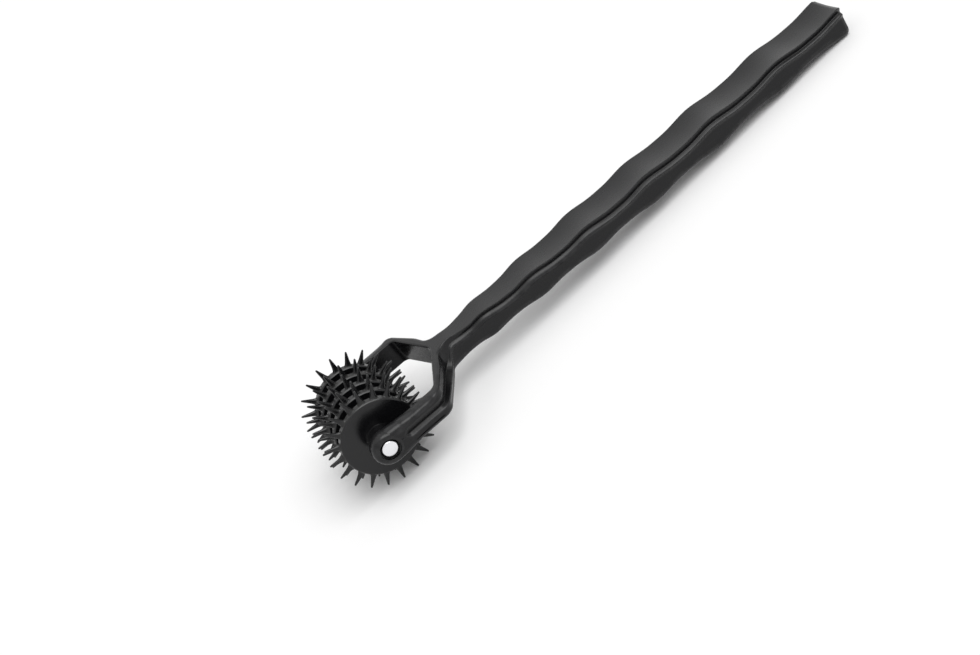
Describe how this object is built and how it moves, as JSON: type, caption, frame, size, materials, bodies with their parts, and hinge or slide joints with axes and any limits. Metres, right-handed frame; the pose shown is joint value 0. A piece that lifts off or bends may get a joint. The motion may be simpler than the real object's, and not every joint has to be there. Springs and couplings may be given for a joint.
{
  "type": "neurological pinwheel",
  "caption": "Hand-held pinwheel for testing skin feeling: rows of blunt spikes on a roller that spins on a steel pin in the fork of a wavy black handle.",
  "frame": {"origin": "middle of the object's box, on the handle's centre line at the axle's height", "axes": "+X along the handle from the axle to the butt, +Y along the axle, +Z square to the handle's wide face"},
  "size_m": [0.193, 0.0422, 0.032],
  "materials": {
    "black_plastic": "near-black moulded plastic with a soft satin sheen",
    "wheel_plastic": "near-black moulded plastic, slightly glossier than the handle",
    "pin_steel": "bright polished steel"
  },
  "bodies": {
    "handle": {"handle_fork": "black_plastic", "axle_pin": "pin_steel"},
    "roller": {"roller_core": "wheel_plastic", "spiked_wheel_1": "wheel_plastic", "spiked_wheel_2": "wheel_plastic", "spiked_wheel_3": "wheel_plastic", "spiked_wheel_4": "wheel_plastic", "spiked_wheel_5": "wheel_plastic"}
  },
  "joints": [
    {"name": "roller_spin", "type": "hinge", "parent": "handle", "child": "roller", "pos_m": [-0.08052, 0, 0], "axis": [0, 1, 0], "continuous": true}
  ]
}
